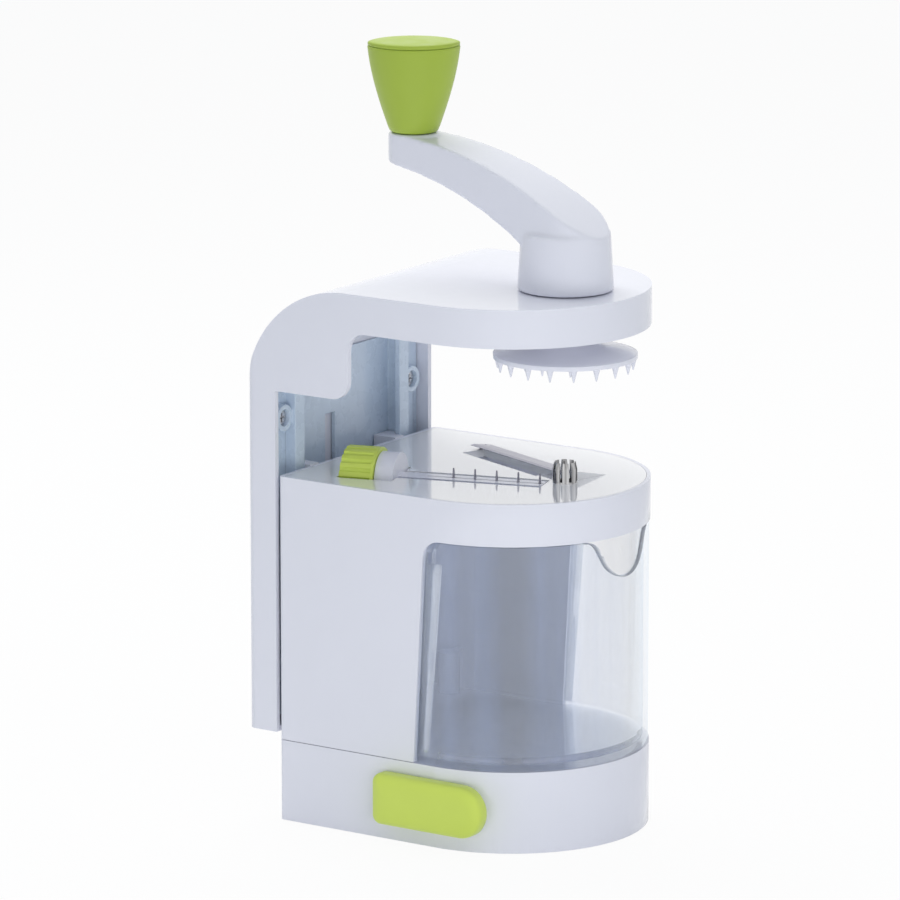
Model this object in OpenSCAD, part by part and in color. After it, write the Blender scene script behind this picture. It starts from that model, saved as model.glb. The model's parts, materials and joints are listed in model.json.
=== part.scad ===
// Vertical spiralizer: a crank on a sliding arm presses a vegetable on to a blade deck,
// and the strands fall into a clear catch container above a suction base.
// Frame: millimetres, +Z up, the rounded front is -Y, the lever side is -X,
// origin on the table at the middle of the base's footprint.

/* [Body] */
// Width of the base, the body and the arm
body_w = 114; // [112:1:120]
// Straight length of the D-shaped plan behind its round front
flat_len = 77; // [76:1:84]
// Height of the base
base_h = 34; // [33.5:0.5:38]
// Height of the blade deck above the table
deck_z = 145.5; // [144:0.5:152]
// Wall thickness of the mouldings
wall = 2.4; // [2:0.1:2.6]
// Height of the closed band under the deck
band_h = 17.5; // [17:0.5:19]
// Thickness of the blade deck
deck_t = 3; // [2.6:0.1:3.2]

/* [Arm] */
// Gap from the deck up to the underside of the arm, as stored
arm_gap = 63.9; // [60:0.1:72]
// Thickness of the arm
arm_t = 16; // [15:0.5:20]
// Depth of the column, front to back
column_d = 14.6; // [14.4:0.1:17]
// Gap between the body's back and the column
column_gap = 1.4; // [1.2:0.1:2]
// Outer radius of the bend from column to arm
corner_r = 48.5; // [42:0.5:50]
// How far the side gusset hangs below the arm
gusset_drop = 28.4; // [20:0.2:28.4]
// How far the side gusset reaches in front of the column
gusset_reach = 36.4; // [26:0.2:40]
// How far the arm slides down from its stored height
slide_down = 34; // [28:0.5:34]
// How far the arm slides up from its stored height
slide_up = 61; // [40:1:61]

/* [Crank] */
// Distance from the crank axis to the knob's axis
crank_r = 74.3; // [68:0.1:80]
// Radius of the crank's hub
hub_r = 19.7; // [18.5:0.1:21]
// Draft of the crank's hub, per millimetre of height
hub_draft = 0.06; // [0.02:0.01:0.08]
// Radius of the crank's end under the knob
pad_r = 10.5; // [10:0.1:12]
// Height of the crank's end above the arm
crank_rise = 57.8; // [54:0.1:62]
// Radius of the crank shaft
shaft_r = 5; // [4.5:0.1:5.5]
// Width of the crank knob across its pointed ends
knob_w = 37.6; // [34:0.2:40]
// Width of the crank knob across its round sides
knob_d = 28; // [25:0.2:30]
// Height of the crank knob
knob_h = 37.4; // [34:0.2:42]
// Radius of the pin that the crank knob turns on
knob_pin_r = 3; // [2.6:0.1:3.4]

/* [Disc] */
// Radius of the spiked disc
disc_r = 29.5; // [27:0.5:32]
// Length of the disc's spikes
spike_h = 5; // [4:0.2:6]
// Spikes round the disc's rim
rim_spikes = 18; // [14:1:22]

/* [Blades] */
// Outer radius of the corer
corer_r = 5.1; // [4.8:0.1:5.3]
// Height of the corer above the deck
corer_h = 8.5; // [7:0.5:10]
// Angle of the comb drum from the front-to-back line
drum_ang = 16.7; // [15:0.1:18]
// Distance from a drum face to the drum's axis
drum_face = 2.5; // [2.3:0.1:2.7]
// Height of the comb teeth above the drum's face
tooth_h = 4.1; // [3:0.1:4.2]
// Teeth on the coarse comb
coarse_n = 5; // [3:1:6]
// Length of the slicing blade
blade_len = 59; // [50:1:60]
// Height of the slicing edge above the deck
blade_lift = 1.9; // [1.6:0.1:2.6]
// Radius of the green selector knob
selector_r = 13.1; // [12.5:0.1:13.4]
// Length of the green selector knob
selector_len = 14.4; // [13:0.2:15]
// Ribs round the selector knob
selector_ribs = 21; // [18:1:28]

/* [Container] */
// Wall thickness of the clear container
clear_t = 2.2; // [1.8:0.1:2.4]
// Radius of the finger notch in the container's front
notch_r = 16; // [13:0.5:17]
// Depth of the finger notch
notch_depth = 17; // [14:0.5:18]

/* [Suction] */
// Radius of the suction cup
cup_r = 29; // [26:0.5:29.5]
// Length of the lever from its pivot to its free end
lever_len = 42.3; // [38:0.1:46]
// Height of the lever
lever_h = 21.6; // [19:0.2:22]
// Thickness of the lever
lever_t = 8; // [7:0.2:10]
// Eccentricity of the cam that lifts the cup
cam_e = 3; // [2.5:0.1:3]
// Radius of the cam shaft
cam_shaft_r = 4; // [3.6:0.1:4]

/* [Fits] */
// Radial clearance of a shaft that turns in its hole
fit_run = 0.06; // [0.03:0.01:0.09]
// Radial clearance of a pin that is fixed in its hole
fit_set = 0.02; // [0.01:0.01:0.03]
// Gap between sliding faces
fit_slide = 0.4; // [0.35:0.05:0.5]
// Gap at the seams between mouldings
seam = 0.3; // [0.25:0.05:0.4]

/* [Hidden] */
$fn = 96;
eps = 0.01;
big = 400;

// Colours
white = [0.90, 0.91, 0.95];
liner_grey = [0.72, 0.77, 0.86];
green = [0.62, 0.74, 0.22];
steel = [0.66, 0.67, 0.70];
chrome = [0.80, 0.81, 0.83];
clear = [0.75, 0.82, 0.95, 0.35];
rubber = [0.16, 0.16, 0.18];

// Plan of the base and body
rad = body_w / 2;
back_y = (flat_len + rad) / 2;
arc_y = back_y - flat_len;
front_y = arc_y - rad;
inner_x = rad - wall;
back_corner = 2;

// Crank and corer axis
axis_y = front_y + 31;

// Heights of the arm and column
arm_z = deck_z + arm_gap;
arm_top = arm_z + arm_t;
col_front = back_y + column_gap;
col_back = col_front + column_d;
col_bottom = slide_down + 3;
col_corner = 4;
bend_y = col_back - corner_r;
bend_z = arm_top - corner_r;

// Deck seat in the top of the body
rim_w = 1.6;
ledge_t = 2.8;
ledge_in = 6;
deck_under = deck_z - deck_t;
lug_r = 5;
lug_x = rad - ledge_in - lug_r + 1.5;
lug_at = [[-lug_x, back_y - 9], [lug_x, back_y - 9], [3 - lug_x, arc_y - 17], [lug_x - 3, arc_y - 17]];

// Front opening of the body
open_top = deck_z - band_h;
open_low_y = arc_y + 10.2;
open_high_y = arc_y + 5.3;
open_corner = 8;

// Screw sizes
screw_r = 1.5;
screw_gap = 0.12;
head_r = 3;
head_h = 2;

// Base floor and bottom plate
floor_t = 2.4;
plate_t = 3;
cup_y = front_y + 40.8;
cup_hole = cup_r + 1;
post_r = 4;
foot_at = [[-40, back_y - 10], [40, back_y - 10], [-43, arc_y + 24], [43, arc_y + 24]];
join_at = [[-46, back_y - 15], [0, back_y - 8], [46, back_y - 15]];
join_r = 4.5;
join_h = 18;

// Suction cam
lever_z = 18.5;
cam_r = cam_e + cam_shaft_r + 0.1;
cam_w = 8;
cam_off = cam_e * sin(45);
cam_gap = 0.2;
yoke_w = 7;
foot_roof = 6;
cup_under = 3.2;
cup_flat_r = 9;
cup_hub_r = 11.5;
cup_hub_z = 5.2;
bearing_x = 18;
bearing_w = 7;
bearing_r = cam_shaft_r + 3.5;
shaft_tail = 5;
shaft_end = bearing_x + bearing_w + shaft_tail;
neck_r = cam_shaft_r + 1.6;
lever_in = -(rad + 1);
lever_hole = lever_t - 2.8;

// Guide rails and column liner
rail_web = [28, 34.2];
rail_flange = 38.6;
rail_z = [base_h + 6, deck_z + 0.5];
lip_x = rail_web[1] + fit_slide;
lip_y = col_front + 0.8;
lip_t = 2.5;
chan_x = rail_flange + fit_slide;
chan_w = 2.5;
chan_back = col_back - wall - seam - 2;
strip_y = col_front + 5.6;
strip_t = 2;
liner_x = inner_x - seam;
liner_z = [col_bottom + wall + 2, arm_z - 22.4];
boss_x = 46.4;
boss_r = 5.6;
boss_hole = 3.5;
boss_face = col_front + 2.4;
boss_z = [col_bottom + 24, deck_z + 22];
slot_w = 7;
slot_x = -3.4;
stop_r = 3;
stop_z = deck_z - 21.5;
slot_z = [stop_z - stop_r - slide_up, stop_z + stop_r + slide_down];
rail_screw_z = [rail_z[0] + 12, rail_z[1] - 45];

// Arm inside
cover_t = 2;
cover_back = col_front - 3;
bush_r = shaft_r + 3;
bush_boss = bush_r + 3;
cover_hole = bush_boss + 0.6;
cover_at = [[-42, arc_y - 18], [42, arc_y - 18], [-42, arc_y + 50], [42, arc_y + 50]];

// Crank
knob_y = axis_y + crank_r;
hub_z = arm_top + 0.35;
pad_z = arm_top + crank_rise;
top_r = 165;
top_c = [knob_y + 8.7, pad_z - top_r];
low_r = 150;
low_c = [knob_y + 24.7, pad_z - 11.4 - low_r];
crank_half = 15.2;
shaft_top = hub_z + 18;
shoulder_z = hub_z + 24;
hub_top_r = hub_r - hub_draft * (shoulder_z - hub_z);
nose_y = axis_y - (hub_top_r - crank_half - 0.3);
pin_bed = 9;
knob_z = pad_z + seam;
cap_h = 2;
knob_top = knob_z + knob_h - cap_h;
knob_turn = -56;
pin_head_r = 5;
pin_head_h = 2;
pin_head_z = knob_top - 8;

// Spiked disc
disc_top = arm_z - 0.35;
hub_disc_r = 12;
disc_plate = arm_z - 9.6;
disc_drop = 2.2;
disc_bore_z = disc_top - 7;

// Comb drum, in its own frame: the axis runs along +Y from beside the corer
drum_off = 6.2;
drum_z = deck_z - drum_face;
drum_tip = drum_face + tooth_h;
drum_vertex = 2 * drum_face;
flange_from = 68.5;
bar_t = [7, flange_from];
flange_t = [flange_from, flange_from + 7.8];
flange_r = selector_r - 1.6;
knob_t = [flange_t[1] + seam, flange_t[1] + seam + selector_len];
spigot_r = 6.5;
spigot_end = knob_t[0] + 8;
drum_pin_r = 1.6;
journal_t = [4.1, 7];
pin_t = [knob_t[0] + 3, knob_t[1] + 7];
pin_room = 0.1;
window_half = drum_tip + 0.6;
knob_half = selector_r + 0.6;
comb_t = 0.9;
comb_sink = 1.3;
tooth_t = 0.5;
tooth_w = 2.2;
tooth_tip = 0.6;
coarse_t = [8.8, 45.6];
comb_from = bar_t[0] + 0.4;
comb_end = 57;
fine_n = 2 * coarse_n + 2;

// Slicing blade, in its own frame: +Y along the blade away from the corer, +X behind its edge
blade_ang = -21.6;
blade_off = 2.8;
blade_from = 12.5;
blade_w = 10;
blade_th = 0.8;
throat = [-6.5, 4.6];
throat_in = 3;
rivet_r = 1.2;

// Rib beside the corer
fin_ang = -17;
fin_len = 16.5;
fin_h = 3.6;
fin_t = 1.2;

// Container
cont_gap = 0.5;
cont_z = base_h + fit_slide;
cont_top = open_top - cont_gap;
cont_rear_top = open_top - 6;
cont_r = rad - cont_gap;
cont_x = inner_x - 1;
cont_back = back_y - 23;
shoulder_r = 7;

// 2D: D-shaped plan, drawn in by inset, with its flat back at y = back and back corners of radius rc
module d_plan(inset = 0, back = back_y, rc = back_corner) {
    w = rad - inset;
    b = back - inset;
    r = max(rc - inset, 0.4);
    translate([0, arc_y]) circle(w);
    translate([-w, arc_y]) square([2 * w, b - r - arc_y]);
    translate([-w + r, arc_y]) square([2 * (w - r), b - arc_y]);
    for (s = [-1, 1]) translate([s * (w - r), b - r]) circle(r);
}

module slab(z0, z1) {
    translate([0, 0, z0]) linear_extrude(z1 - z0) children();
}

// Extrudes a (y, z) outline along X
module along_x(x0, x1) {
    translate([x0, 0, 0]) rotate([90, 0, 90]) linear_extrude(x1 - x0) children();
}

// Extrudes an (x, z) outline along Y
module along_y(y0, y1) {
    translate([0, y1, 0]) rotate([90, 0, 0]) linear_extrude(y1 - y0) children();
}

module rod_x(x0, x1, r, y, z) {
    translate([x0, y, z]) rotate([0, 90, 0]) cylinder(h = x1 - x0, r = r);
}

module rod_y(y0, y1, r, x, z) {
    translate([x, y0, z]) rotate([-90, 0, 0]) cylinder(h = y1 - y0, r = r);
}

module rod_z(z0, z1, r, x = 0, y = 0) {
    translate([x, y, z0]) cylinder(h = z1 - z0, r = r);
}

// Screw along +Z with its head below z = 0 and a cross recess in the head
module screw(len, hr = head_r, hh = head_h, r = screw_r - screw_gap) {
    difference() {
        union() {
            cylinder(h = len, r = r);
            translate([0, 0, -hh]) cylinder(h = hh, r = hr);
        }
        for (a = [0, 90]) rotate([0, 0, a])
            translate([-hr * 0.6, -0.4, -hh - 1]) cube([hr * 1.2, 0.8, 1 + hh * 0.5]);
    }
}

// Base

module base_shell() {
    color(white) difference() {
        union() {
            difference() {
                slab(0, base_h) d_plan();
                slab(-1, base_h - floor_t) d_plan(wall);
            }
            for (p = foot_at) rod_z(plate_t + seam, base_h - 1, post_r, p[0], p[1]);
            rod_x(-rad, -inner_x + 8, neck_r, cup_y, lever_z);
            translate([bearing_x, cup_y - bearing_r, lever_z])
                cube([bearing_w, 2 * bearing_r, base_h - 1 - lever_z]);
            rod_x(bearing_x, bearing_x + bearing_w, bearing_r, cup_y, lever_z);
        }
        for (p = foot_at) rod_z(-1, base_h - foot_roof, screw_r, p[0], p[1]);
        for (p = join_at) rod_z(0, base_h + 1, screw_r + 0.15, p[0], p[1]);
        rod_x(-rad - 1, shaft_end, cam_shaft_r + fit_run, cup_y, lever_z);
    }
}

module bottom_plate() {
    color(white) difference() {
        slab(0, plate_t) d_plan(wall + seam);
        rod_z(-1, plate_t + 1, cup_hole, 0, cup_y);
        for (p = foot_at) {
            rod_z(-1, plate_t + 1, screw_r + 0.15, p[0], p[1]);
            rod_z(-1, head_h * 0.8, head_r + 0.3, p[0], p[1]);
        }
    }
}

module bottom_screws() {
    color(steel) for (p = foot_at)
        translate([p[0], p[1], head_h * 0.8]) screw(base_h - 10, hh = head_h * 0.7);
}

// Suction cup and its cam

module suction_cup() {
    color(rubber) translate([0, cup_y, 0]) rotate_extrude()
        polygon([[0, cup_under], [cup_flat_r, cup_under], [cup_r - 3, 0.4], [cup_r - 1.6, 0], [cup_r, 0],
            [cup_r, 1.1], [cup_r - 2.5, 1.7], [cup_hub_r, cup_hub_z], [0, cup_hub_z]]);
}

// Stem with a window in which the cam turns, on a round foot that is bonded to the cup
module cup_stem() {
    win_z = lever_z - cam_off;
    half_z = cam_r + cam_gap;
    half_y = cam_r + (cam_e - cam_off) / 2 + 0.6;
    mid_y = cup_y + (cam_e + cam_off) / 2;
    low = win_z - half_z - 2;
    color(white) difference() {
        union() {
            translate([-yoke_w / 2, mid_y - half_y - 3, low]) cube([yoke_w, 2 * half_y + 6, 2 * half_z + 4]);
            rod_z(5.25, low + 1, 10, 0, cup_y);
        }
        translate([-yoke_w, mid_y - half_y, win_z - half_z]) cube([2 * yoke_w, 2 * half_y, 2 * half_z]);
    }
}

module cam_shaft() {
    color(steel) difference() {
        rod_x(lever_in - lever_hole + 0.3, shaft_end, cam_shaft_r, cup_y, lever_z);
        translate([shaft_end - 2.6, cup_y, lever_z]) rotate([0, 90, 0]) difference() {
            cylinder(h = 1.2, r = cam_shaft_r + 1);
            translate([0, 0, -1]) cylinder(h = 4, r = cam_shaft_r - 1);
        }
    }
}

module lift_cam() {
    color(white) difference() {
        rod_x(-cam_w / 2, cam_w / 2, cam_r, cup_y + cam_off, lever_z - cam_off);
        rod_x(-cam_w, cam_w, cam_shaft_r + fit_set, cup_y, lever_z);
    }
}

// Open ring in the groove at the shaft's end
module shaft_clip() {
    groove = cam_shaft_r - 1;
    color(steel) translate([shaft_end - 2.5, cup_y, lever_z]) rotate([0, 90, 0]) difference() {
        cylinder(h = 1, r = cam_shaft_r + 2);
        translate([0, 0, -1]) cylinder(h = 3, r = groove + fit_set);
        translate([0, -groove, -1]) cube([cam_shaft_r + 5, 2 * groove, 3]);
    }
}

// Lever: a flat handle with a round end at its pivot
module lever_outline(inset = 0) {
    h = lever_h - 2 * inset;
    r = 4;
    b = lever_len - inset;
    circle(h / 2);
    translate([0, -h / 2]) square([b - r, h]);
    translate([0, -h / 2 + r]) square([b, h - 2 * r]);
    for (s = [-1, 1]) translate([b - r, s * (h / 2 - r)]) circle(r);
}

module suction_lever() {
    color(green) translate([0, cup_y, lever_z]) difference() {
        union() {
            along_x(lever_in - lever_t + 1.4, lever_in) lever_outline();
            along_x(lever_in - lever_t, lever_in - lever_t + 2) lever_outline(1.4);
        }
        translate([lever_in - lever_hole, 0, 0]) rotate([0, 90, 0])
            cylinder(h = lever_hole + 1, r = cam_shaft_r + fit_set);
    }
}

// Body

// (y, z) outline of the front opening: a slanted edge with a round upper corner
function open_y(z) = open_low_y + (open_high_y - open_low_y) * (z - base_h) / (open_top - base_h);

module front_opening(back_by = 0, low = base_h - 1) {
    z1 = open_top - open_corner;
    cy = open_y(z1) - open_corner - back_by;
    polygon([[-big, low], [open_y(low) - back_by, low], [open_y(z1) - back_by, z1], [-big, z1]]);
    translate([-big, z1 - 1]) square([big + cy, open_corner + 1]);
    translate([cy, z1]) circle(open_corner);
}

module body_shell() {
    color(white) difference() {
        union() {
            difference() {
                slab(base_h + seam, deck_z) d_plan();
                slab(base_h - 1, deck_z + 1) d_plan(wall);
                along_x(-rad - 1, rad + 1) front_opening();
            }
            difference() {
                slab(deck_under - ledge_t, deck_under) d_plan(wall - 0.5);
                slab(deck_under - ledge_t - 1, deck_under + 1) d_plan(ledge_in);
            }
            intersection() {
                slab(deck_under - ledge_t, deck_under) d_plan(wall - 0.5);
                for (p = lug_at) rod_z(deck_under - ledge_t, deck_under, lug_r, p[0], p[1]);
            }
            intersection() {
                slab(base_h + seam, deck_z) d_plan(wall - 0.5);
                for (p = join_at) {
                    rod_z(base_h + seam, base_h + join_h, join_r, p[0], p[1]);
                    if (p[0] == 0) translate([-1.2, p[1], base_h + seam]) cube([2.4, big, join_h - seam]);
                    if (p[0] != 0) translate([p[0] > 0 ? p[0] : -big, p[1] - 1.2, base_h + seam])
                        cube([big - abs(p[0]), 2.4, join_h - seam]);
                }
            }
        }
        slab(deck_under, deck_z + 1) d_plan(rim_w);
        for (p = lug_at) rod_z(deck_under - 10, deck_under + 1, screw_r + 0.15, p[0], p[1]);
        for (p = join_at) rod_z(base_h, base_h + join_h - 3, screw_r, p[0], p[1]);
        for (s = [-1, 1], z = rail_screw_z)
            rod_y(back_y - 10, back_y + 1, screw_r + 0.15, s * (rail_web[0] + rail_web[1]) / 2, z);
        rod_y(back_y - 10, back_y + 1, stop_r + fit_set, slot_x, stop_z);
        at_drum() rod_y(pin_t[0], pin_t[1] + pin_room, drum_pin_r + fit_set, 0, 0);
    }
}

module body_screws() {
    color(steel) for (p = join_at)
        translate([p[0], p[1], base_h - floor_t]) screw(join_h - 4);
}

// Deck

// Puts its children in the drum's frame
module at_drum() {
    translate([-drum_off * cos(drum_ang), axis_y - drum_off * sin(drum_ang), drum_z])
        rotate([0, 0, drum_ang]) children();
}

// Puts its children in the slicing blade's frame, with z = 0 on the deck
module at_blade() {
    translate([0, axis_y, deck_z]) rotate([0, 0, blade_ang]) translate([blade_off, blade_from, 0]) children();
}

module deck() {
    corer_boss = corer_r + 3;
    color(white) difference() {
        union() {
            slab(deck_under + eps, deck_z) d_plan(rim_w + 0.15);
            rod_z(deck_under - 5, deck_z - 1, corer_boss, 0, axis_y);
            at_drum() {
                translate([-5, journal_t[0] - 2.5, -5]) cube([10, 4.6, 5]);
                translate([-5, knob_t[1] + 1.2, -5]) cube([10, 7, 5]);
            }
            translate([0, axis_y, deck_z - 1]) rotate([0, 0, fin_ang])
                along_y(-fin_t / 2, fin_t / 2)
                    polygon([[corer_r + 0.6, 0], [corer_r + fin_len, 0], [corer_r + fin_len, 1],
                        [corer_r + 0.6, 1 + fin_h]]);
        }
        rod_z(deck_under - 9, deck_z + 9, corer_r + fit_set, 0, axis_y);
        at_drum() {
            translate([-window_half, bar_t[0] - 0.4, -9]) cube([2 * window_half, flange_t[0] - bar_t[0], 20]);
            translate([-knob_half, flange_t[0] - 0.6, -9])
                cube([2 * knob_half, knob_t[1] - flange_t[0] + 1.4, 20]);
            rod_y(journal_t[0] - 0.4, bar_t[0] + 1, drum_pin_r + fit_run, 0, 0);
            rod_y(knob_t[1], pin_t[1] + 5, drum_pin_r + fit_set, 0, 0);
        }
        at_blade() {
            translate([throat[0], throat_in, -9]) cube([throat[1] - throat[0], blade_len - 2 * throat_in, 20]);
            for (y = [1.5, blade_len - 1.5]) translate([blade_w - 2.5, y, -deck_t - 1]) cylinder(h = 9, r = rivet_r);
        }
        for (p = lug_at) rod_z(deck_under - 1, deck_z - 0.8, screw_r, p[0], p[1]);
    }
}

module deck_screws() {
    color(steel) for (p = lug_at)
        translate([p[0], p[1], deck_under - ledge_t]) screw(ledge_t + deck_t - 1.2);
}

// Tube with a notched, tapered rim and a collar under the deck
module corer() {
    r_in = corer_r - 0.9;
    top = deck_z + corer_h;
    low = deck_under - 6.4;
    slot = 1.1;
    color(chrome) translate([0, axis_y, 0]) difference() {
        rotate_extrude() polygon([[r_in, low], [corer_r + 2, low], [corer_r + 2, low + 1.35],
            [corer_r, low + 1.35], [corer_r, top - 3], [r_in + 0.25, top], [r_in, top]]);
        for (a = [14:45:149]) rotate([0, 0, a])
            translate([-2 * corer_r, -slot / 2, deck_z + 0.6]) cube([4 * corer_r, slot, corer_h + 2]);
    }
}

module slicing_blade() {
    color(steel) at_blade() difference() {
        along_y(0, blade_len)
            polygon([[0, blade_lift], [1.6, blade_lift + 0.25], [blade_w, blade_th + 0.04],
                [blade_w, 0.04], [4.8, 0.04], [0, blade_lift - 0.15]]);
        for (y = [1.5, blade_len - 1.5]) translate([blade_w - 2.5, y, -1]) cylinder(h = 9, r = rivet_r + 0.05);
    }
}

module blade_rivets() {
    color(steel) at_blade() for (y = [1.5, blade_len - 1.5]) translate([blade_w - 2.5, y, 0]) {
        translate([0, 0, -deck_t - 0.5]) cylinder(h = deck_t + 1.6, r = rivet_r - 0.05);
        translate([0, 0, -deck_t - 0.8]) cylinder(h = 0.7, r = rivet_r + 0.8);
    }
}

module drum_pin() {
    color(steel) at_drum() rod_y(pin_t[0], pin_t[1], drum_pin_r, 0, 0);
}

// Comb drum: a three-sided bar with a round flange, turned by the selector knob

module comb_plate(n, from, to, gap = 0) {
    foot = drum_face - comb_sink;
    along_x(-comb_t / 2 - gap, comb_t / 2 + gap) {
        translate([comb_from - gap, foot - gap]) square([comb_end - comb_from + 2 * gap, comb_sink - 0.1 + gap]);
        if (gap > 0) translate([comb_from - gap, drum_face - 0.5])
            square([comb_end - comb_from + 2 * gap, 2]);
    }
    if (gap == 0) for (i = [0:n - 1]) {
        t = from + (to - from) * i / (n - 1);
        along_y(t - tooth_t / 2, t + tooth_t / 2)
            polygon([[-comb_t / 2, foot], [comb_t / 2, foot], [comb_t / 2, drum_face + 0.06],
                [tooth_w / 2, drum_face + 0.06], [tooth_tip / 2, drum_tip], [-tooth_tip / 2, drum_tip],
                [-tooth_w / 2, drum_face + 0.06], [-comb_t / 2, drum_face + 0.06]]);
    }
}

module comb_drum() {
    color(white) at_drum() difference() {
        union() {
            along_y(bar_t[0], bar_t[1] + 1)
                polygon([for (i = [0:2]) drum_vertex * [cos(30 + 120 * i), sin(30 + 120 * i)]]);
            rod_y(journal_t[0], bar_t[0] + 1, drum_pin_r, 0, 0);
            rod_y(flange_t[0], flange_t[1], flange_r, 0, 0);
            rod_y(flange_t[1] - 1, spigot_end, spigot_r, 0, 0);
        }
        rod_y(pin_t[0] - 1, big, drum_pin_r + fit_run, 0, 0);
        comb_plate(coarse_n, coarse_t[0], coarse_t[1], 0.03);
        rotate([0, 120, 0]) comb_plate(fine_n, coarse_t[0], comb_end - 2, 0.03);
    }
}

module coarse_comb() {
    color(steel) at_drum() comb_plate(coarse_n, coarse_t[0], coarse_t[1]);
}

module fine_comb() {
    color(steel) at_drum() rotate([0, 120, 0]) comb_plate(fine_n, coarse_t[0], comb_end - 2);
}

module selector_knob() {
    rib = PI * selector_r / selector_ribs * 0.55;
    color(green) at_drum() difference() {
        rod_y(knob_t[0], knob_t[1], selector_r, 0, 0);
        rod_y(knob_t[0] - 1, spigot_end + 0.4, spigot_r + fit_set, 0, 0);
        rod_y(knob_t[0], big, drum_pin_r + fit_run, 0, 0);
        for (i = [0:selector_ribs - 1]) rotate([0, i * 360 / selector_ribs, 0])
            rod_y(knob_t[0] + 1.2, knob_t[1] + 1, rib, selector_r + rib * 0.45, 0);
    }
}

// Slide for the arm

module guide_rails() {
    y0 = back_y + eps;
    y1 = lip_y + lip_t + fit_slide;
    y2 = chan_back - fit_slide;
    mid = (rail_web[0] + rail_web[1]) / 2;
    color(white) for (s = [-1, 1]) difference() {
        slab(rail_z[0], rail_z[1]) {
            translate([s > 0 ? rail_web[0] : -rail_web[1], y0]) square([rail_web[1] - rail_web[0], y2 - y0]);
            translate([s > 0 ? rail_web[0] : -rail_flange, y1]) square([rail_flange - rail_web[0], y2 - y1]);
        }
        for (z = rail_screw_z) rod_y(back_y - 1, back_y + 9, screw_r, s * mid, z);
    }
}

module rail_screws() {
    mid = (rail_web[0] + rail_web[1]) / 2;
    color(steel) for (s = [-1, 1], z = rail_screw_z)
        translate([s * mid, back_y - wall, z]) rotate([-90, 0, 0]) screw(wall + 8);
}

module travel_stop() {
    color(steel) {
        rod_y(back_y - wall, chan_back + 1.9, stop_r, slot_x, stop_z);
        rod_y(back_y - wall - 1.5, back_y - wall, stop_r + 1.5, slot_x, stop_z);
    }
}

// Arm and column

// (y, z) outline of the column and arm; inset draws in its top and back only
module arm_side(inset = 0) {
    intersection() {
        union() {
            translate([-big, arm_z - (inset > 0 ? 1 : 0)]) square([big + col_back - inset, big]);
            translate([col_front - (inset > 0 ? 1 : 0), col_bottom + inset]) square([column_d + 1 - inset, big]);
        }
        union() {
            translate([-big, 0]) square([big + bend_y, arm_top - inset]);
            translate([-big, 0]) square([big + col_back - inset, bend_z]);
            translate([bend_y, bend_z]) circle(corner_r - inset);
        }
    }
}

// (y, z) outline of the side gusset, with a round lower corner and a round inner corner
module gusset() {
    r = 8;
    y0 = col_front - gusset_reach;
    z0 = arm_z - gusset_drop;
    translate([y0 + r, z0]) square([gusset_reach - r + 1, gusset_drop + 1]);
    translate([y0, z0 + r]) square([gusset_reach + 1, gusset_drop - r + 1]);
    translate([y0 + r, z0 + r]) circle(r);
    difference() {
        translate([y0 - r, arm_z - r]) square([r + 1, r + 1]);
        translate([y0 - r, arm_z - r]) circle(r);
    }
}

module arm_frame() {
    color(white) difference() {
        union() {
            difference() {
                intersection() {
                    along_x(-rad, rad) arm_side();
                    slab(0, big) d_plan(0, col_back, col_corner);
                }
                intersection() {
                    along_x(-inner_x, inner_x) arm_side(wall);
                    slab(0, big) d_plan(wall, col_back, col_corner);
                }
            }
            along_x(-rad, -inner_x) gusset();
            rod_z(arm_z + 1, arm_top - wall / 2, bush_boss, 0, axis_y);
            for (p = cover_at) rod_z(arm_z + cover_t + 0.05, arm_top - wall / 2, post_r, p[0], p[1]);
            for (s = [-1, 1], z = boss_z)
                rod_y(strip_y + strip_t + 0.05, col_back - wall / 2, boss_r - 1, s * boss_x, z);
        }
        rod_z(arm_z - 1, arm_top + 1, bush_r + fit_set, 0, axis_y);
        for (p = cover_at) rod_z(arm_z, arm_top - wall, screw_r, p[0], p[1]);
        for (s = [-1, 1], z = boss_z) rod_y(strip_y, col_back - wall, screw_r, s * boss_x, z);
        translate([-chan_x, col_front - 1, col_bottom - 1]) cube([2 * chan_x, chan_back + 1 - col_front, wall + 2]);
    }
}

module arm_cover() {
    color(white) difference() {
        slab(arm_z, arm_z + cover_t) intersection() {
            d_plan(wall + seam, col_back);
            translate([-big, -big]) square([2 * big, big + cover_back]);
        }
        rod_z(arm_z - 1, arm_z + 9, cover_hole, 0, axis_y);
        for (p = cover_at) rod_z(arm_z - 1, arm_z + 9, screw_r + 0.15, p[0], p[1]);
    }
}

module cover_screws() {
    color(steel) for (p = cover_at)
        translate([p[0], p[1], arm_z]) screw(arm_t - wall - 2, hh = 1.2);
}

module crank_bush() {
    color(steel) difference() {
        rod_z(arm_z + 0.6, arm_top - 0.1, bush_r, 0, axis_y);
        rod_z(arm_z - 1, arm_top + 1, shaft_r + fit_run, 0, axis_y);
    }
}

// Channel for the rails, with a screw strip down each side
module liner_plan() {
    translate([-chan_x - chan_w, chan_back]) square([2 * (chan_x + chan_w), 2]);
    for (s = [0, 1]) mirror([s, 0]) {
        translate([chan_x, lip_y]) square([chan_w, chan_back + 2 - lip_y]);
        translate([lip_x, lip_y]) square([chan_x - lip_x + 1, lip_t]);
        translate([chan_x + 1, strip_y]) square([liner_x - chan_x - 1, strip_t]);
    }
}

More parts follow.
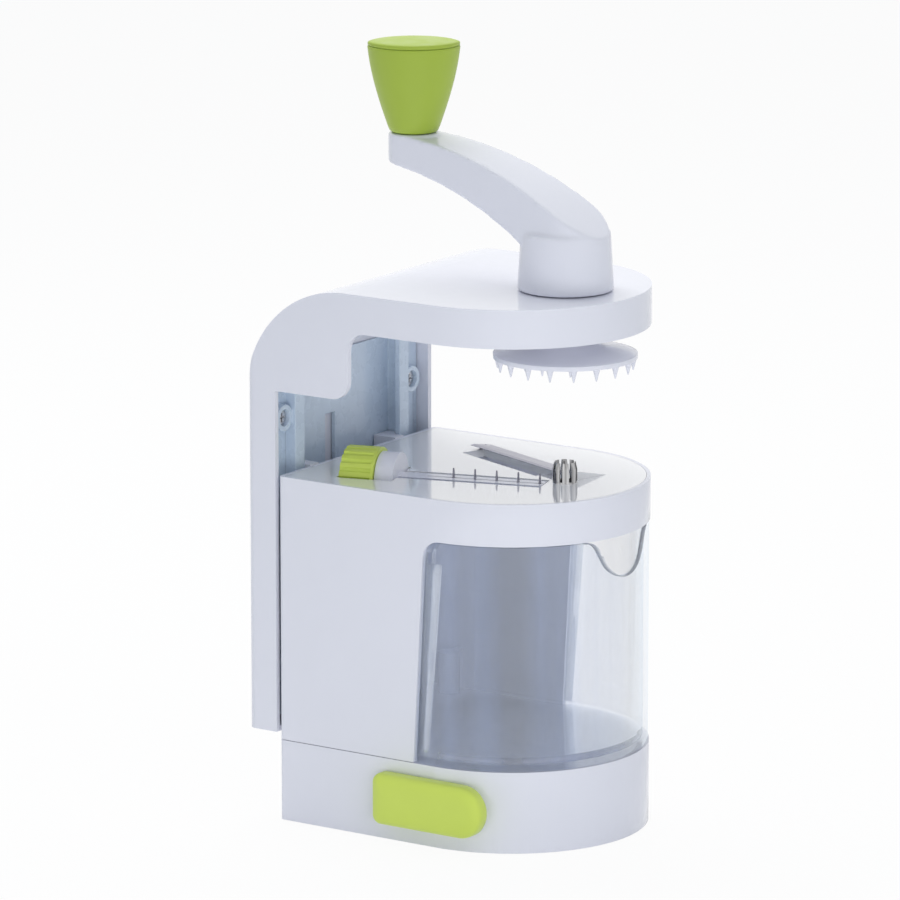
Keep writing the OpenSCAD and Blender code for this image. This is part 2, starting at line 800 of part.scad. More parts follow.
module column_liner() {
    color(liner_grey) difference() {
        union() {
            intersection() {
                slab(liner_z[0], liner_z[1]) liner_plan();
                along_x(-rad, rad) arm_side(wall + seam);
            }
            for (s = [-1, 1], z = boss_z) rod_y(boss_face, strip_y + 1, boss_r, s * boss_x, z);
        }
        for (s = [-1, 1], z = boss_z) {
            rod_y(boss_face - 1, strip_y + strip_t - 1.4, boss_hole, s * boss_x, z);
            rod_y(boss_face - 1, strip_y + 9, screw_r + 0.15, s * boss_x, z);
        }
        translate([slot_x - slot_w / 2, chan_back - 1, slot_z[0]]) cube([slot_w, 4, slot_z[1] - slot_z[0]]);
    }
}

module liner_screws() {
    color(steel) for (s = [-1, 1], z = boss_z)
        translate([s * boss_x, strip_y + strip_t - 1.4, z]) rotate([-90, 0, 0])
            screw(col_back - wall - strip_y - 2, hr = boss_hole - 0.4);
}

// Crank

module crank_top() {
    translate(top_c) circle(top_r, $fn = 200);
}

module crank_arm() {
    y0 = axis_y - hub_r - 1;
    color(white) difference() {
        union() {
            intersection() {
                translate([0, axis_y, hub_z])
                    cylinder(h = shoulder_z - hub_z, r1 = hub_r, r2 = hub_top_r);
                along_x(-rad, rad) crank_top();
            }
            intersection() {
                along_x(-rad, rad) difference() {
                    crank_top();
                    translate(low_c) circle(low_r, $fn = 200);
                    translate([-big, -big]) square([2 * big, big + hub_z + 1]);
                    translate([-big, 0]) square([big + y0, big]);
                    translate([knob_y + pad_r + 2, 0]) square([big, big]);
                }
                slab(0, big) {
                    polygon([[-crank_half, nose_y], [crank_half, nose_y], [pad_r, knob_y], [-pad_r, knob_y]]);
                    translate([0, nose_y]) circle(crank_half);
                    translate([0, knob_y]) circle(pad_r);
                }
            }
            rod_z(pad_z - 3, pad_z, pad_r, 0, knob_y);
        }
        rod_z(hub_z - 1, shaft_top, shaft_r + fit_set, 0, axis_y);
        rod_z(pad_z - pin_bed, pad_z + 1, knob_pin_r + fit_set, 0, knob_y);
    }
}

module crank_shaft() {
    color(steel) difference() {
        rod_z(disc_bore_z, shaft_top - 0.2, shaft_r, 0, axis_y);
        rod_z(disc_bore_z - 1, disc_bore_z + 14, screw_r, 0, axis_y);
    }
}

module knob_pin() {
    color(steel) {
        rod_z(pad_z - pin_bed + 0.1, pin_head_z, knob_pin_r, 0, knob_y);
        rod_z(pin_head_z, pin_head_z + pin_head_h, pin_head_r, 0, knob_y);
    }
}

// Radius of the knob's outline: two arcs that meet in points at half width a, with half depth b
function lens(a, b, t) =
    let (q = (a * a + b * b) / (2 * b), d = q - b)
    sqrt(q * q - d * d * cos(t) * cos(t)) - d * abs(sin(t));

function knob_ring(h, n, inset = 0) =
    let (k = 0.6 * sin(90 * h) + 0.4 * h, a0 = pad_r - 0.5, a = a0 + (knob_w / 2 - a0) * k, b = a0 + (knob_d / 2 - a0) * k)
    [for (i = [0:n - 1]) let (t = 360 * i / n, r = lens(a, b, t) - inset) [r * cos(t), r * sin(t)]];

// Closed skin over equal rings of points, each [ring, height]
module skin(rings) {
    n = len(rings[0][0]);
    m = len(rings);
    pts = [for (g = rings) for (p = g[0]) [p[0], p[1], g[1]]];
    sides = [for (j = [0:m - 2], i = [0:n - 1])
        let (i2 = (i + 1) % n) [j * n + i, (j + 1) * n + i, (j + 1) * n + i2, j * n + i2]];
    polyhedron(points = pts, faces = concat([[for (i = [0:n - 1]) i]], sides,
        [[for (i = [0:n - 1]) m * n - 1 - i]]), convexity = 4);
}

module crank_knob() {
    n = 72;
    steps = 14;
    color(green) translate([0, knob_y, 0]) difference() {
        rotate([0, 0, knob_turn]) skin([for (j = [0:steps])
            [knob_ring(j / steps, n), knob_z + (knob_top - knob_z) * j / steps]]);
        translate([0, 0, knob_z - 1]) cylinder(h = knob_h + 2, r = knob_pin_r + fit_run);
        translate([0, 0, pin_head_z - seam]) cylinder(h = knob_h, r = pin_head_r + 0.5);
    }
}

module knob_cap() {
    n = 72;
    z = knob_top + 0.05;
    color(green) translate([0, knob_y, 0]) rotate([0, 0, knob_turn]) {
        skin([[knob_ring(1, n, 0.5), z], [knob_ring(1, n, 0.2), z + 0.5], [knob_ring(1, n, 0.4), z + cap_h - 0.7],
            [knob_ring(1, n, 1.6), z + cap_h]]);
        translate([0, 0, z - 2.5]) cylinder(h = 3, r = pin_head_r + 0.4);
    }
}

// Spiked disc

module spiked_disc() {
    color(white) translate([0, axis_y, 0]) difference() {
        union() {
            rotate_extrude() polygon([[0, disc_plate + 1], [7.2, disc_plate + 1], [7.2, disc_plate - disc_drop],
                [9, disc_plate - disc_drop], [9, disc_plate], [disc_r - 2, disc_plate - disc_drop + 0.6],
                [disc_r - 1.2, disc_plate - disc_drop], [disc_r, disc_plate - disc_drop],
                [disc_r, disc_plate - disc_drop + 1.8], [hub_disc_r + 4, disc_plate + 2.6],
                [hub_disc_r, disc_plate + 4.4], [hub_disc_r, disc_top], [0, disc_top]]);
            for (i = [0:rim_spikes - 1]) rotate([0, 0, i * 360 / rim_spikes])
                translate([disc_r - 1.9, 0, disc_plate - disc_drop - spike_h])
                    cylinder(h = spike_h + 1, r1 = 0.25, r2 = 1.75);
            for (i = [0:rim_spikes / 2 - 1]) rotate([0, 0, (i + 0.5) * 720 / rim_spikes])
                translate([disc_r * 0.58, 0, disc_plate - disc_drop - spike_h])
                    cylinder(h = spike_h + 2.4, r1 = 0.25, r2 = 1.75);
        }
        translate([0, 0, disc_bore_z]) cylinder(h = big, r = shaft_r + fit_set);
        cylinder(h = big, r = screw_r + 0.15);
    }
}

module disc_screw() {
    color(steel) translate([0, axis_y, disc_plate + 1]) screw(12, hr = 3.6);
}

// Clear container: its round front is flush with the body, and its narrower back slides inside

module cont_front(inset, back_by, z0, z1) {
    intersection() {
        slab(z0, z1) translate([0, arc_y]) {
            circle(cont_r - inset);
            translate([-cont_r + inset, 0]) square([2 * (cont_r - inset), flat_len]);
        }
        along_x(-rad, rad) front_opening(back_by, base_h - 20);
    }
}

module cont_rear(inset, z0, z1) {
    slab(z0, z1) translate([-cont_x + inset, arc_y - 14]) square([2 * (cont_x - inset), cont_back - arc_y + 14 - inset]);
}

// (x, z) outline of the finger notch, with rounded shoulders
module notch() {
    zc = cont_top - notch_depth + notch_r;
    translate([0, zc]) circle(notch_r);
    translate([-notch_r, zc]) square([2 * notch_r, big]);
    for (s = [0, 1]) mirror([s, 0]) difference() {
        translate([notch_r - 1, cont_top - shoulder_r]) square([shoulder_r + 1, shoulder_r + 1]);
        translate([notch_r + shoulder_r, cont_top - shoulder_r]) circle(shoulder_r);
    }
}

module catch_container() {
    color(clear) difference() {
        union() {
            cont_front(0, cont_gap, cont_z, cont_top);
            cont_rear(0, cont_z, cont_rear_top);
        }
        cont_front(clear_t, cont_gap + clear_t, cont_z + clear_t, big);
        cont_rear(clear_t, cont_z + clear_t, big);
        along_y(-big, arc_y - 20) notch();
    }
}

base_shell();
bottom_plate();
bottom_screws();
body_shell();
body_screws();
deck();
deck_screws();
corer();
slicing_blade();
blade_rivets();
drum_pin();
guide_rails();
rail_screws();
travel_stop();
arm_frame();
column_liner();
liner_screws();
arm_cover();
cover_screws();
crank_bush();
crank_arm();
crank_shaft();
spiked_disc();
disc_screw();
knob_pin();
crank_knob();
knob_cap();
comb_drum();
coarse_comb();
fine_comb();
selector_knob();
catch_container();
suction_lever();
cam_shaft();
lift_cam();
shaft_clip();
suction_cup();
cup_stem();
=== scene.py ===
"""Vertical spiralizer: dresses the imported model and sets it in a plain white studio."""
import json
import math

import bmesh
import bpy
from mathutils import Matrix, Vector


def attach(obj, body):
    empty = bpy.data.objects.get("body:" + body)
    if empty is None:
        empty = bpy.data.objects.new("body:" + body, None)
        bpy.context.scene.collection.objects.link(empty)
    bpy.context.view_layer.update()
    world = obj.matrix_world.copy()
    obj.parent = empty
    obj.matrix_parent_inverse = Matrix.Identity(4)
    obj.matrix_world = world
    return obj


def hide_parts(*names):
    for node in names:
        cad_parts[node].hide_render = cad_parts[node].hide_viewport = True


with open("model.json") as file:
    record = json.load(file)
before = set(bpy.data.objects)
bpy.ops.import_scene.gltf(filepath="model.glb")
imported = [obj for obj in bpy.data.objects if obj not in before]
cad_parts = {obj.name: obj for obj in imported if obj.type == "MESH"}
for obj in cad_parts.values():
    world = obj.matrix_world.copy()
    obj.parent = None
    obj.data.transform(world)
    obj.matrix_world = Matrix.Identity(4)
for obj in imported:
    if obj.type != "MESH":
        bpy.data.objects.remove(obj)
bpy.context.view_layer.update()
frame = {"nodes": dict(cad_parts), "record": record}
nodes = frame["nodes"]
scene = bpy.context.scene
MM = 0.001


# Shader nodes

def principled_material(name):
    """A node material with its principled shader: (material, nodes, links, shader)."""
    mat = bpy.data.materials.new(name)
    mat.use_nodes = True
    tree = mat.node_tree
    return mat, tree.nodes, tree.links, tree.nodes["Principled BSDF"]


def bare_material(name):
    """A node material with nothing but its output: (material, nodes, links, output)."""
    mat = bpy.data.materials.new(name)
    mat.use_nodes = True
    tree = mat.node_tree
    tree.nodes.clear()
    return mat, tree.nodes, tree.links, tree.nodes.new("ShaderNodeOutputMaterial")


def noise(mn, links, scale, detail=3.0, stretch=(1, 1, 1)):
    """A noise texture in object space, in features per metre."""
    coord = mn.new("ShaderNodeTexCoord")
    mapping = mn.new("ShaderNodeMapping")
    mapping.inputs["Scale"].default_value = stretch
    tex = mn.new("ShaderNodeTexNoise")
    tex.inputs["Scale"].default_value = scale
    tex.inputs["Detail"].default_value = detail
    links.new(coord.outputs["Object"], mapping.inputs["Vector"])
    links.new(mapping.outputs["Vector"], tex.inputs["Vector"])
    return tex.outputs["Fac"]


def along(mn, links, axis, reach):
    """0 to 1 along an axis of the object, from reach metres before its middle to reach metres after."""
    place = mn.new("ShaderNodeTexCoord")
    axes = mn.new("ShaderNodeSeparateXYZ")
    span = mn.new("ShaderNodeMapRange")
    span.inputs["From Min"].default_value = -reach
    span.inputs["From Max"].default_value = reach
    links.new(place.outputs["Object"], axes.inputs["Vector"])
    links.new(axes.outputs[axis], span.inputs["Value"])
    return span.outputs["Result"]


def ramp(mn, links, source, low, high, ends=(0.3, 0.7)):
    """Colours or greys between low and high, picked by source."""
    node = mn.new("ShaderNodeValToRGB")
    for element, at, value in zip(node.color_ramp.elements, ends, (low, high)):
        element.position = at
        element.color = (value, value, value, 1) if isinstance(value, float) else (*value, 1)
    links.new(source, node.inputs["Fac"])
    return node.outputs["Color"]


def blend(mn, links, source, low, high):
    """A ramp over the whole of source, from 0 to 1."""
    return ramp(mn, links, source, low, high, (0.0, 1.0))


def calculate(mn, links, operation, first, second):
    """A math node; the second value is a socket or a number."""
    node = mn.new("ShaderNodeMath")
    node.operation = operation
    links.new(first, node.inputs[0])
    if isinstance(second, float):
        node.inputs[1].default_value = second
    else:
        links.new(second, node.inputs[1])
    return node.outputs[0]


def mix_shaders(mn, links, share, first, second):
    """The first shader, with the given share of the second."""
    mix = mn.new("ShaderNodeMixShader")
    links.new(share, mix.inputs["Fac"])
    links.new(first.outputs[0], mix.inputs[1])
    links.new(second.outputs[0], mix.inputs[2])
    return mix


def bump(mn, links, shader, height, strength, depth):
    node = mn.new("ShaderNodeBump")
    node.inputs["Strength"].default_value = strength
    node.inputs["Distance"].default_value = depth
    links.new(height, node.inputs["Height"])
    links.new(node.outputs["Normal"], shader.inputs["Normal"])


# Materials

def plastic(name, colour, rough, grain=0.012, spread=0.02, coat=0.0):
    """Moulded plastic: fine grain, slightly uneven gloss and colour."""
    mat, mn, links, shader = principled_material(name)
    cloud = noise(mn, links, 45.0, 4.0)
    dark = tuple(c * (1 - spread) for c in colour)
    links.new(ramp(mn, links, cloud, dark, colour), shader.inputs["Base Color"])
    gloss = noise(mn, links, 160.0, 5.0)
    links.new(ramp(mn, links, gloss, rough * 0.85, rough * 1.15), shader.inputs["Roughness"])
    bump(mn, links, shader, noise(mn, links, 2600.0, 2.0), grain, 0.0002)
    shader.inputs["IOR"].default_value = 1.5
    shader.inputs["Coat Weight"].default_value = coat
    shader.inputs["Coat Roughness"].default_value = 0.05
    return mat


def metal(name, colour, rough, stretch, spread=0.12):
    """Metal with fine lines along one direction; with a wide spread the lines become dark and bright bands
    of painted reflection.
    """
    mat, mn, links, shader = principled_material(name)
    lines = noise(mn, links, 700.0, 3.0, stretch)
    dark = tuple(c * (1 - spread) for c in colour)
    links.new(ramp(mn, links, lines, dark, colour), shader.inputs["Base Color"])
    links.new(ramp(mn, links, lines, rough * 0.7, rough * 1.3), shader.inputs["Roughness"])
    bump(mn, links, shader, lines, 0.05, 0.0001)
    shader.inputs["Metallic"].default_value = 1.0
    return mat


def clear_plastic(name, tint, haze_and_shade_colour, haze, gloss, rear_shade_tint=None, far_haze=1.0):
    """Clear plastic with a little haze in upright bands and glossy edges.

    rear_shade_tint is its tint towards the back, which paints shade on what is seen through the rear;
    haze_and_shade_colour is the colour of the haze, which in some looks paints shade; far_haze the share of
    haze that is left towards the far side.
    """
    half_depth, half_width = 0.006, 0.014
    edge_gloss, rear_gloss = 0.6, 0.3
    mat, mn, links, out = bare_material(name)
    depth = along(mn, links, "Y", half_depth)
    wall = mn.new("ShaderNodeBsdfTransparent")
    # towards the back the tint turns to the rear shade tint: painted shade on what is seen through the rear
    links.new(blend(mn, links, depth, tint, rear_shade_tint or tint), wall.inputs["Color"])
    cloud = mn.new("ShaderNodeBsdfDiffuse")
    cloud.inputs["Color"].default_value = (*haze_and_shade_colour, 1)
    bands = ramp(mn, links, noise(mn, links, 75.0, 2.0, (1, 1, 0.02)), haze * 0.7, haze * 2.2, (0.42, 0.64))
    fade = blend(mn, links, along(mn, links, "X", half_width), 1.0, far_haze)
    hazy = mix_shaders(mn, links, calculate(mn, links, "MULTIPLY", bands, fade), wall, cloud)
    skin = mn.new("ShaderNodeBsdfGlossy")
    skin.inputs["Color"].default_value = (0.92, 0.96, 1.0, 1)
    links.new(ramp(mn, links, noise(mn, links, 120.0, 4.0), 0.04, 0.06), skin.inputs["Roughness"])
    bump(mn, links, skin, noise(mn, links, 60.0, 2.0), 0.02, 0.0002)
    facing = mn.new("ShaderNodeLayerWeight")
    facing.inputs["Blend"].default_value = 0.5
    edge = calculate(mn, links, "POWER", facing.outputs["Facing"], 3.0)
    sheen = blend(mn, links, edge, gloss, edge_gloss)
    rear_sheen = blend(mn, links, depth, 1.0, rear_gloss)
    glossy = mix_shaders(mn, links, calculate(mn, links, "MULTIPLY", sheen, rear_sheen), hazy, skin)
    links.new(glossy.outputs[0], out.inputs["Surface"])
    return mat


def rubber(name):
    mat, mn, links, shader = principled_material(name)
    cloud = noise(mn, links, 120.0, 4.0)
    links.new(ramp(mn, links, cloud, (0.02, 0.02, 0.022), (0.035, 0.035, 0.04)), shader.inputs["Base Color"])
    links.new(ramp(mn, links, cloud, 0.5, 0.7), shader.inputs["Roughness"])
    bump(mn, links, shader, noise(mn, links, 1800.0, 2.0), 0.15, 0.0002)
    return mat


WHITE = (0.86, 0.868, 0.942)
ALONG_BLADE = (1, 0.05, 1)
UPRIGHT_REFLECTION_BANDS = (1, 1, 0.03)
LOOK = {
    "white_plastic": plastic("white_plastic", WHITE, 0.14, spread=0.008),
    # painted shade: liner_plastic is the white plastic turned blue-grey, to paint the blue shade inside the
    # column
    "liner_plastic": plastic("liner_plastic", (0.66, 0.77, 0.90), 0.28, coat=0.3),
    # partly painted light: deck_plastic is glossy white, and its base colour is also raised above the other
    # white parts to paint in light that the arm keeps off the deck
    "deck_plastic": plastic("deck_plastic", (0.97, 0.972, 0.98), 0.06, grain=0.004, spread=0.008, coat=1.0),
    "green_plastic": plastic("green_plastic", (0.69, 0.835, 0.13), 0.36, spread=0.04),
    "green_knob": plastic("green_knob", (0.42, 0.56, 0.058), 0.36, spread=0.04),
    # painted shade: the blue haze and the bluer rear tint paint the blue shade of the body's interior seen
    # through the clear container
    "clear_plastic": clear_plastic("clear_plastic", (0.998, 0.999, 1.0), (0.46, 0.60, 1.0), 0.07, 0.11,
                                   rear_shade_tint=(0.95, 0.966, 1.0), far_haze=0.2),
    # painted shade: the dark tint and dark haze paint the dark lines that refraction makes along the
    # container's thick edges
    "clear_edge_painted_dark": clear_plastic("clear_edge_painted_dark", (0.32, 0.35, 0.48), (0.30, 0.32, 0.46), 0.4, 0.08),
    # painted shade: the grey tint and grey haze paint the dark line seen along the cut edge of the notch
    "clear_rim_painted_dark": clear_plastic("clear_rim_painted_dark", (0.66, 0.665, 0.68), (0.62, 0.63, 0.66), 0.3, 0.1),
    "clear_rib": clear_plastic("clear_rib", (0.98, 0.985, 0.99), (0.9, 0.92, 0.96), 0.12, 0.4),
    "steel": metal("steel", (0.62, 0.63, 0.66), 0.28, ALONG_BLADE),
    # painted reflection: the blade's steel is darkened and tinted violet to paint the dark surroundings it
    # mirrors
    "blade_steel_painted_dark": metal("blade_steel_painted_dark", (0.40, 0.40, 0.47), 0.35, ALONG_BLADE),
    "comb_steel": metal("comb_steel", (0.22, 0.22, 0.27), 0.35, ALONG_BLADE),
    # painted reflection: the wide spread turns chrome's upright lines into dark and bright bands that paint
    # reflections
    "chrome": metal("chrome", (0.62, 0.62, 0.63), 0.12, UPRIGHT_REFLECTION_BANDS, spread=0.6),
    "rubber": rubber("rubber"),
}


# Dressing of the CAD nodes

def dress(obj, look):
    obj.data.materials.clear()
    obj.data.materials.append(LOOK[look])


def weld(obj):
    """Joins the doubled points of a CAD mesh, so that its edges can be rounded."""
    step = obj.modifiers.new("weld", "WELD")
    step.merge_threshold = 1e-6


def soften(obj, width, angle=30, segments=3, edge_look=None, even=False):
    """Rounds the hard edges of a CAD node; edge_look is the look of the rounding, even smooths its bends."""
    weld(obj)
    if width:
        edge = obj.modifiers.new("edge", "BEVEL")
        edge.width = width * MM
        edge.segments = segments
        edge.limit_method = "ANGLE"
        edge.angle_limit = math.radians(angle)
        edge.use_clamp_overlap = True
        edge.harden_normals = not even
        if edge_look:
            obj.data.materials.append(LOOK[edge_look])
            edge.material = 1
    if even:
        normals = obj.modifiers.new("even", "WEIGHTED_NORMAL")
        normals.keep_sharp = True


def melt(obj, voxel, rounds):
    """Rounds every edge and inner corner of a CAD node."""
    weld(obj)
    grid = obj.modifiers.new("grid", "REMESH")
    grid.mode = "VOXEL"
    grid.voxel_size = voxel * MM
    grid.use_smooth_shade = True
    smooth = obj.modifiers.new("smooth", "SMOOTH")
    smooth.factor = 0.5
    smooth.iterations = rounds


# Looks that differ from the node's slot, and the rounding of hard edges in millimetres
LOOK_OF = {"slicing_blade": "blade_steel_painted_dark", "coarse_comb": "comb_steel", "fine_comb": "comb_steel"}
# the container's rounded edges take a dark look that paints the dark lines of refraction
EDGE_LOOK_OF = {"catch_container": "clear_edge_painted_dark"}
EDGE = {
    "base_shell": 0.8, "body_shell": 0.8, "deck": 0.3, "arm_frame": 1.2, "column_liner": 0.4,
    "catch_container": 0.9, "guide_rails": 0.3, "spiked_disc": 0.3, "comb_drum": 0.3, "selector_knob": 0.25,
    "corer": 0.1,
}
slot_of = {entry["node"]: entry["material_slot"] for entry in frame["record"]["subparts"]}
for name, obj in nodes.items():
    dress(obj, LOOK_OF.get(name, slot_of[name]))
    if name == "crank_arm":
        melt(obj, voxel=0.7, rounds=10)
    else:
        soften(obj, EDGE.get(name, 0.0), edge_look=EDGE_LOOK_OF.get(name), even=name == "arm_frame")


# Pieces made here, for a plainer CAD node or for a thin edge of the container, in millimetres

def loft(name, rings, body, node, look):
    """A closed skin over equal rings of points, which rides on a body and may stand for a CAD node."""
    mesh = bpy.data.meshes.new(name)
    bm = bmesh.new()
    rows = [[bm.verts.new([c * MM for c in point]) for point in ring] for ring in rings]
    count = len(rows[0])
    for a, b in zip(rows, rows[1:]):
        for i in range(count):
            j = (i + 1) % count
            bm.faces.new((a[i], a[j], b[j], b[i]))
    bm.faces.new(list(reversed(rows[0])))
    bm.faces.new(rows[-1])
    bmesh.ops.recalc_face_normals(bm, faces=bm.faces)
    for face in bm.faces:
        face.smooth = True
    bm.to_mesh(mesh)
    bm.free()
    obj = bpy.data.objects.new(name, mesh)
    scene.collection.objects.link(obj)
    obj.data.materials.append(LOOK[look])
    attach(obj, body)
    if node:
        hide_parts(node)
    return obj


def arc(centre, radius, start, stop, steps):
    """Points of an arc in a plane, angles in degrees."""
    for k in range(steps + 1):
        t = math.radians(start + (stop - start) * k / steps)
        yield centre[0] + radius * math.cos(t), centre[1] + radius * math.sin(t)


def lever_ring(x, inset):
    """Outline of the lever at depth x: round at its pivot, nearly square at its free end."""
    pivot_y, pivot_z = -26.2, 18.5
    half = 10.8 - inset
    reach = 42.3 - inset
    corner = max(4.0 - inset, 0.8)
    flat = list(arc((0, 0), half, 90, 270, 36))
    flat += list(arc((reach - corner, corner - half), corner, 270, 360, 10))
    flat += list(arc((reach - corner, half - corner), corner, 0, 90, 10))
    return [(x, pivot_y + u, pivot_z + v) for u, v in flat]


def build_lever():
    """The lever, with a small rounding at its back and a squarish crown."""
    inner_x, outer_x = -58.0, -66.0
    crown_depth, crown_inset, squareness = 4.2, 8.4, 0.72
    back = ((0.0, 1.0), (0.3, 0.3), (1.0, 0.0))
    rings = [lever_ring(inner_x - depth, inset) for depth, inset in back]
    steps = 18
    for k in range(steps + 1):
        t = math.pi / 2 * k / steps
        depth = crown_depth * (1 - math.sin(t) ** squareness)
        inset = crown_inset * (1 - math.cos(t) ** squareness)
        rings.append(lever_ring(outer_x + depth, inset))
    loft("lever_shell", rings, "lever", "suction_lever", "green_plastic")


def knob_ring(h, z, inset=0.0, count=120):
    """Outline of the crank knob at height share h: round at its foot, two arcs that meet at its top."""
    axis_y, turn = 38.3, math.radians(-56)
    foot_r, grow_long, grow_wide, bulge = 10.0, 9.3, 4.2, 0.6
    tip_round, tip_shift = 0.006, 0.04
    rise = bulge * math.sin(math.pi / 2 * h) + (1 - bulge) * h
    half_long = foot_r + grow_long * rise
    half_wide = foot_r + grow_wide * rise
    arc_r = (half_long ** 2 + half_wide ** 2) / (2 * half_wide)
    arc_off = arc_r - half_wide
    ring = []
    for i in range(count):
        t = 2 * math.pi * i / count
        soft_sine = max(math.sqrt(math.sin(t) ** 2 + tip_round) - tip_shift, 0.0)
        r = math.sqrt(arc_r ** 2 - (arc_off * math.cos(t)) ** 2) - arc_off * soft_sine - inset
        ring.append((r * math.cos(t + turn), axis_y + r * math.sin(t + turn), z))
    return ring


def build_knob():
    """The crank knob and the lid on it, both with rounded rims."""
    foot, top, steps = 283.5, 318.9, 28
    rings = [knob_ring(0.0, foot, 1.0), knob_ring(0.0, foot + 0.2, 0.4), knob_ring(0.01, foot + 0.7)]
    for k in range(2, steps):
        rings.append(knob_ring(k / steps, foot + (top - foot) * k / steps))
    rings += [knob_ring(0.995, top - 0.4), knob_ring(1.0, top - 0.12, 0.12), knob_ring(1.0, top, 0.4)]
    loft("knob_grip", rings, "handle", "crank_knob", "green_knob")
    lid_profile = (
        (0.05, 0.9), (0.1, 0.5), (0.3, 0.2), (0.9, 0.12), (1.4, 0.2), (1.7, 0.5), (1.9, 1.1), (2.0, 2.2),
        (2.05, 5.0), (2.05, 9.0),
    )
    lid = [knob_ring(1.0, top + height, inset) for height, inset in lid_profile]
    loft("knob_lid", lid, "handle", "knob_cap", "green_knob")


# Middle of the container's round front, and top of the container's floor
FRONT_Y = -10.0
FLOOR_Z = 36.6


def build_container_lips():
    """Lips along the container's two rear edges, which slant like the body's opening and widen upwards."""
    wall_x, thick, lip_top, steps = 54.3, 0.9, 118.0, 20
    slant_y, slant_run, slant_z, slant_height = -0.6, 4.9, 34, 94
    foot_wide, grow_wide, outer_lap, inner_lap, back_lap = 2.6, 2.2, 1.5, 1.8, 1.2
    for side, label in ((-1, "near"), (1, "far")):
        x0 = side * wall_x
        x1 = side * (wall_x - thick)
        rings = []
        for k in range(steps + 1):
            z = FLOOR_Z + (lip_top - FLOOR_Z) * k / steps
            edge = slant_y - slant_run * (z - slant_z) / slant_height
            front = edge - foot_wide - grow_wide * k / steps
            outline = ((x0, edge), (x0, front - outer_lap), (x1, front - inner_lap), (x1, edge - back_lap))
            rings.append([(x, y, z) for x, y in outline])
        loft("container_lip_" + label, rings, "container", None, "clear_rib")


def build_container_fillet():
    """The fillet between the container's floor and its round front, in a dark look that paints the dark line
    that refraction makes along the floor.
    """
    wall_r, start, sweep, steps = 54.2, 180, 122, 72
    profile = ((0.0, 0.0), (0.0, 3.0), (0.4, 1.6), (2.2, 0.0))
    rings = []
    for k in range(steps + 1):
        t = math.radians(start + sweep * k / steps)
        ring = []
        for inset, height in profile:
            r = wall_r - inset
            ring.append((r * math.cos(t), FRONT_Y + r * math.sin(t), FLOOR_Z + height))
        rings.append(ring)
    loft("container_fillet", rings, "container", None, "clear_edge_painted_dark")


def build_notch_rim():
    """The rim of the container's finger notch, as the strip of wall that its cut lays bare, greyed to paint
    the dark line that refraction shows along the cut.
    """
    top, notch_r, notch_rise, shoulder_r = 127.5, 16.0, 1.0, 7.0
    profile = ((55.8, 0.05), (55.0, 0.05), (54.5, 0.5), (56.3, 0.5))
    half = list(arc((notch_r + shoulder_r, top - shoulder_r), shoulder_r, 90, 155, 10))
    half += list(arc((0, top - notch_rise), notch_r, -25, -90, 16))
    path = half + [(-x, z) for x, z in reversed(half[:-1])]
    rings = []
    for k, (x, z) in enumerate(path):
        x0, z0 = path[max(k - 1, 0)]
        x1, z1 = path[min(k + 1, len(path) - 1)]
        run = math.hypot(x1 - x0, z1 - z0)
        ring = []
        for r, deep in profile:
            px = x + deep * (z0 - z1) / run
            pz = z + deep * (x1 - x0) / run
            ring.append((px, FRONT_Y - math.sqrt(r * r - px * px), pz))
        rings.append(ring)
    loft("container_notch_rim", rings, "container", None, "clear_rim_painted_dark")


build_lever()
build_knob()
build_container_lips()
build_container_fillet()
build_notch_rim()


# Studio

def white_for_view(tree):
    """1 for rays that look at the background, straight or through glass and gloss."""
    path = tree.nodes.new("ShaderNodeLightPath")
    seen = path.outputs["Is Camera Ray"]
    for ray in ("Is Glossy Ray", "Is Transmission Ray"):
        seen = calculate(tree.nodes, tree.links, "MAXIMUM", seen, path.outputs[ray])
    return seen


def background(tree, colour, strength):
    node = tree.nodes.new("ShaderNodeBackground")
    node.inputs["Color"].default_value = (*colour, 1)
    node.inputs["Strength"].default_value = strength
    return node


def build_world(colour, strength):
    """A world that lights with the given colour and shows white."""
    world = bpy.data.worlds.new("studio")
    scene.world = world
    world.use_nodes = True
    tree = world.node_tree
    tree.nodes.clear()
    out = tree.nodes.new("ShaderNodeOutputWorld")
    light = background(tree, colour, strength)
    shown = background(tree, (1, 1, 1), 1.0)
    mix = mix_shaders(tree.nodes, tree.links, white_for_view(tree), light, shown)
    tree.links.new(mix.outputs[0], out.inputs["Surface"])


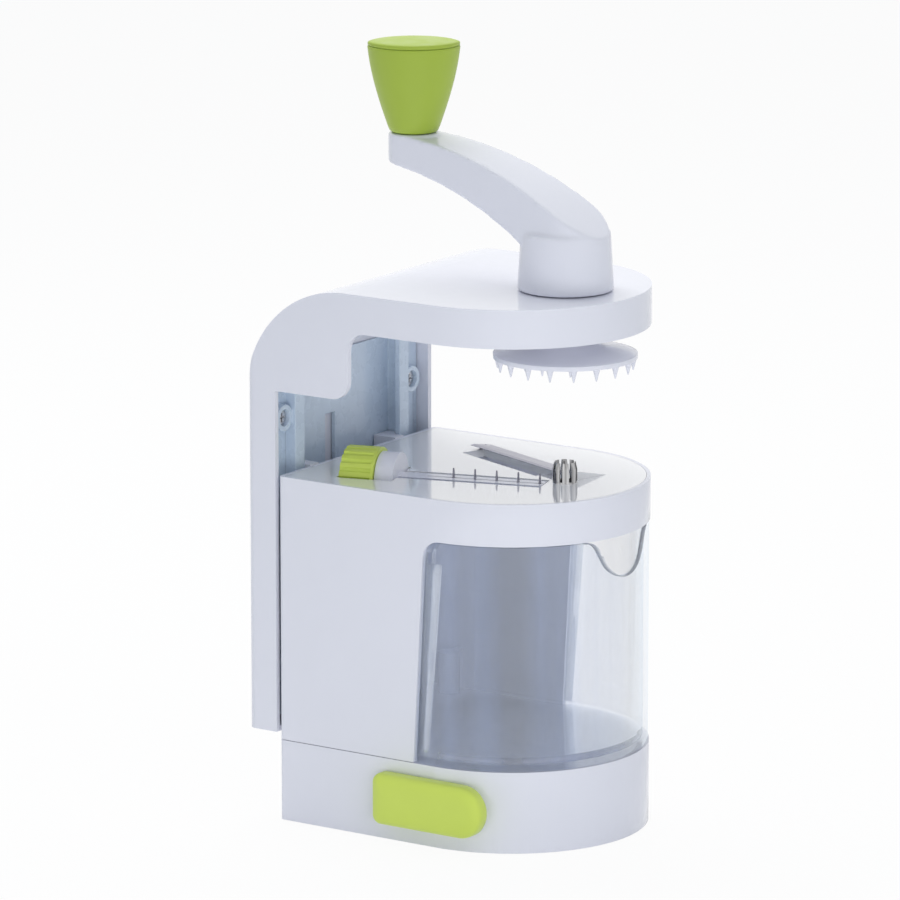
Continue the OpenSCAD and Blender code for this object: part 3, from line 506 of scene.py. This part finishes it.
def build_floor(size=6.0, keep=0.06):
    """A pale floor that shows near white and keeps a faint shadow."""
    mesh = bpy.data.meshes.new("floor")
    bm = bmesh.new()
    bmesh.ops.create_grid(bm, x_segments=8, y_segments=8, size=size)
    bm.to_mesh(mesh)
    bm.free()
    floor = bpy.data.objects.new("floor", mesh)
    floor.location.z = -0.4 * MM
    scene.collection.objects.link(floor)
    mat, mn, links, out = bare_material("floor_white")
    diffuse = mn.new("ShaderNodeBsdfDiffuse")
    diffuse.inputs["Color"].default_value = (0.92, 0.92, 0.93, 1)
    glow = mn.new("ShaderNodeEmission")
    glow.inputs["Strength"].default_value = 1.0
    share = calculate(mn, links, "MULTIPLY", white_for_view(mat.node_tree), 1.0 - keep)
    mix = mix_shaders(mn, links, share, diffuse, glow)
    links.new(mix.outputs[0], out.inputs["Surface"])
    mesh.materials.append(mat)


def area_light(name, place, aim, size, power, colour=(1, 1, 1)):
    """A soft lamp that the glossy pieces don't mirror; metres and watts."""
    data = bpy.data.lights.new(name, "AREA")
    data.shape = "RECTANGLE"
    data.size, data.size_y = size
    data.energy = power
    data.color = colour
    lamp = bpy.data.objects.new(name, data)
    lamp.location = place
    lamp.rotation_euler = (Vector(aim) - Vector(place)).to_track_quat("-Z", "Y").to_euler()
    lamp.visible_glossy = False
    scene.collection.objects.link(lamp)


def build_camera(place, azimuth, elevation, lens):
    """A level camera at a place in metres, angles in degrees and lens in millimetres."""
    data = bpy.data.cameras.new("camera")
    data.sensor_width = 36.0
    data.lens = lens
    camera = bpy.data.objects.new("camera", data)
    turn, tilt = math.radians(azimuth), math.radians(elevation)
    right = Vector((math.cos(turn), math.sin(turn), 0))
    back = Vector((math.sin(turn) * math.cos(tilt), -math.cos(turn) * math.cos(tilt), math.sin(tilt)))
    up = back.cross(right)
    camera.matrix_world = Matrix.Translation(place) @ Matrix((right, up, back)).transposed().to_4x4()
    scene.collection.objects.link(camera)
    scene.camera = camera


WARM = (1.0, 0.985, 0.96)
build_camera((-2.2957, -1.5233, 0.7706), azimuth=-56.08, elevation=12.61, lens=275.0)
build_world((0.86, 0.92, 1.0), 0.46)
build_floor()
area_light("back", (0.4, 0.5, 1.1), (0, 0, 0.15), (1.0, 1.0), 8.6, WARM)
area_light("front", (-0.3, -0.7, 1.1), (0, 0, 0.1), (1.0, 1.0), 2.2, WARM)
area_light("fill", (-0.5, -0.34, 0.08), (0, 0, 0.02), (0.6, 0.16), 0.8)
scene.view_settings.view_transform = "Standard"

bpy.context.view_layer.update()
